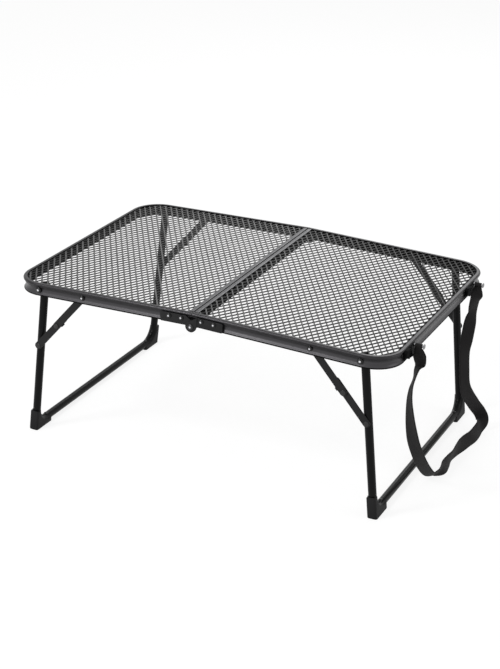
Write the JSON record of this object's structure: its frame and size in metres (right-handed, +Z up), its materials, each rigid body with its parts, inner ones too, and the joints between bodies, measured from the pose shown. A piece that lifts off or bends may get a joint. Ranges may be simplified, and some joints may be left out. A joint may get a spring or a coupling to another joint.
{
  "type": "folding camp table",
  "caption": "Low folding camp table with an expanded-metal top that folds in the middle, U-shaped tube legs on jointed stays and a webbing carrying strap.",
  "frame": {"origin": "on the ground under the middle of the open table", "axes": "+X along the table's length to the end with the strap, +Y to the back, +Z up"},
  "size_m": [0.6379, 0.4114, 0.2576],
  "materials": {
    "rim_metal": "satin",
    "panel_metal": "satin",
    "bar_metal": "satin",
    "leaf_metal": "satin",
    "leg_metal": "satin",
    "stay_metal": "satin",
    "rivet_metal": "polished",
    "peg_steel": "satin",
    "bush_plastic": "moulded",
    "boot_plastic": "moulded",
    "anchor_plastic": "moulded",
    "webbing": "woven"
  },
  "bodies": {
    "right_half": {"right_rim": "rim_metal", "right_center_bar": "bar_metal", "right_mesh_panel": "panel_metal", "front_right_leg_pin": "rivet_metal", "front_right_leg_bush": "bush_plastic", "front_right_stay_top_rivet": "rivet_metal", "back_right_leg_pin": "rivet_metal", "back_right_leg_bush": "bush_plastic", "back_right_stay_top_rivet": "rivet_metal", "front_hinge_right_leaf": "leaf_metal", "front_hinge_right_inner_rivet": "rivet_metal", "front_hinge_right_outer_rivet": "rivet_metal", "front_hinge_pin": "rivet_metal", "front_strap_peg": "peg_steel", "front_strap_anchor": "anchor_plastic", "back_hinge_right_leaf": "leaf_metal", "back_hinge_right_inner_rivet": "rivet_metal", "back_hinge_right_outer_rivet": "rivet_metal", "back_hinge_pin": "rivet_metal", "back_strap_peg": "peg_steel", "back_strap_anchor": "anchor_plastic", "strap": "webbing"},
    "left_half": {"left_rim": "rim_metal", "left_center_bar": "bar_metal", "left_mesh_panel": "panel_metal", "front_left_leg_pin": "rivet_metal", "front_left_leg_bush": "bush_plastic", "front_left_stay_top_rivet": "rivet_metal", "back_left_leg_pin": "rivet_metal", "back_left_leg_bush": "bush_plastic", "back_left_stay_top_rivet": "rivet_metal", "front_hinge_left_leaf": "leaf_metal", "front_hinge_left_inner_rivet": "rivet_metal", "front_hinge_left_outer_rivet": "rivet_metal", "back_hinge_left_leaf": "leaf_metal", "back_hinge_left_inner_rivet": "rivet_metal", "back_hinge_left_outer_rivet": "rivet_metal"},
    "left_leg": {"left_leg_frame": "leg_metal", "front_left_boot": "boot_plastic", "back_left_boot": "boot_plastic"},
    "front_left_upper_stay": {"front_left_upper_stay": "stay_metal", "front_left_stay_middle_rivet": "rivet_metal"},
    "front_left_lower_stay": {"front_left_lower_stay": "stay_metal", "front_left_stay_foot_rivet": "rivet_metal"},
    "back_left_upper_stay": {"back_left_upper_stay": "stay_metal", "back_left_stay_middle_rivet": "rivet_metal"},
    "back_left_lower_stay": {"back_left_lower_stay": "stay_metal", "back_left_stay_foot_rivet": "rivet_metal"},
    "right_leg": {"right_leg_frame": "leg_metal", "front_right_boot": "boot_plastic", "back_right_boot": "boot_plastic"},
    "front_right_upper_stay": {"front_right_upper_stay": "stay_metal", "front_right_stay_middle_rivet": "rivet_metal"},
    "front_right_lower_stay": {"front_right_lower_stay": "stay_metal", "front_right_stay_foot_rivet": "rivet_metal"},
    "back_right_upper_stay": {"back_right_upper_stay": "stay_metal", "back_right_stay_middle_rivet": "rivet_metal"},
    "back_right_lower_stay": {"back_right_lower_stay": "stay_metal", "back_right_stay_foot_rivet": "rivet_metal"}
  },
  "joints": [
    {"name": "center_fold", "type": "hinge", "parent": "right_half", "child": "left_half", "pos_m": [0, 0, 0.2383], "axis": [0, -1, 0], "range_deg": [0, 97]},
    {"name": "left_leg_fold", "type": "hinge", "parent": "left_half", "child": "left_leg", "pos_m": [-0.25415, 0, 0.24117], "axis": [0, -1, 0], "range_deg": [0, 97.5]},
    {"name": "front_left_upper_stay_turn", "type": "hinge", "parent": "left_half", "child": "front_left_upper_stay", "pos_m": [-0.18018, -0.19205, 0.24304], "axis": [0, -1, 0], "range_deg": [0, 132.46]},
    {"name": "front_left_lower_stay_turn", "type": "hinge", "parent": "front_left_upper_stay", "child": "front_left_lower_stay", "pos_m": [-0.22955, -0.18935, 0.18607], "axis": [0, 1, 0], "range_deg": [0, 180.02]},
    {"name": "back_left_upper_stay_turn", "type": "hinge", "parent": "left_half", "child": "back_left_upper_stay", "pos_m": [-0.18018, 0.19205, 0.24304], "axis": [0, -1, 0], "range_deg": [0, 132.46]},
    {"name": "back_left_lower_stay_turn", "type": "hinge", "parent": "back_left_upper_stay", "child": "back_left_lower_stay", "pos_m": [-0.22955, 0.18935, 0.18607], "axis": [0, 1, 0], "range_deg": [0, 180.02]},
    {"name": "right_leg_fold", "type": "hinge", "parent": "right_half", "child": "right_leg", "pos_m": [0.25415, 0, 0.24117], "axis": [0, 1, 0], "range_deg": [0, 97.5]},
    {"name": "front_right_upper_stay_turn", "type": "hinge", "parent": "right_half", "child": "front_right_upper_stay", "pos_m": [0.18018, -0.19205, 0.24304], "axis": [0, 1, 0], "range_deg": [0, 132.46]},
    {"name": "front_right_lower_stay_turn", "type": "hinge", "parent": "front_right_upper_stay", "child": "front_right_lower_stay", "pos_m": [0.22955, -0.18935, 0.18607], "axis": [0, -1, 0], "range_deg": [0, 180.02]},
    {"name": "back_right_upper_stay_turn", "type": "hinge", "parent": "right_half", "child": "back_right_upper_stay", "pos_m": [0.18018, 0.19205, 0.24304], "axis": [0, 1, 0], "range_deg": [0, 132.46]},
    {"name": "back_right_lower_stay_turn", "type": "hinge", "parent": "back_right_upper_stay", "child": "back_right_lower_stay", "pos_m": [0.22955, 0.18935, 0.18607], "axis": [0, -1, 0], "range_deg": [0, 180.02]}
  ],
  "couplings": [
    {"joint": "front_left_upper_stay_turn", "follows": "left_leg_fold", "ratio": 1.3555},
    {"joint": "front_left_lower_stay_turn", "follows": "left_leg_fold", "ratio": 1.8433},
    {"joint": "back_left_upper_stay_turn", "follows": "left_leg_fold", "ratio": 1.3555},
    {"joint": "back_left_lower_stay_turn", "follows": "left_leg_fold", "ratio": 1.8433},
    {"joint": "front_right_upper_stay_turn", "follows": "right_leg_fold", "ratio": 1.3555},
    {"joint": "front_right_lower_stay_turn", "follows": "right_leg_fold", "ratio": 1.8433},
    {"joint": "back_right_upper_stay_turn", "follows": "right_leg_fold", "ratio": 1.3555},
    {"joint": "back_right_lower_stay_turn", "follows": "right_leg_fold", "ratio": 1.8433}
  ]
}
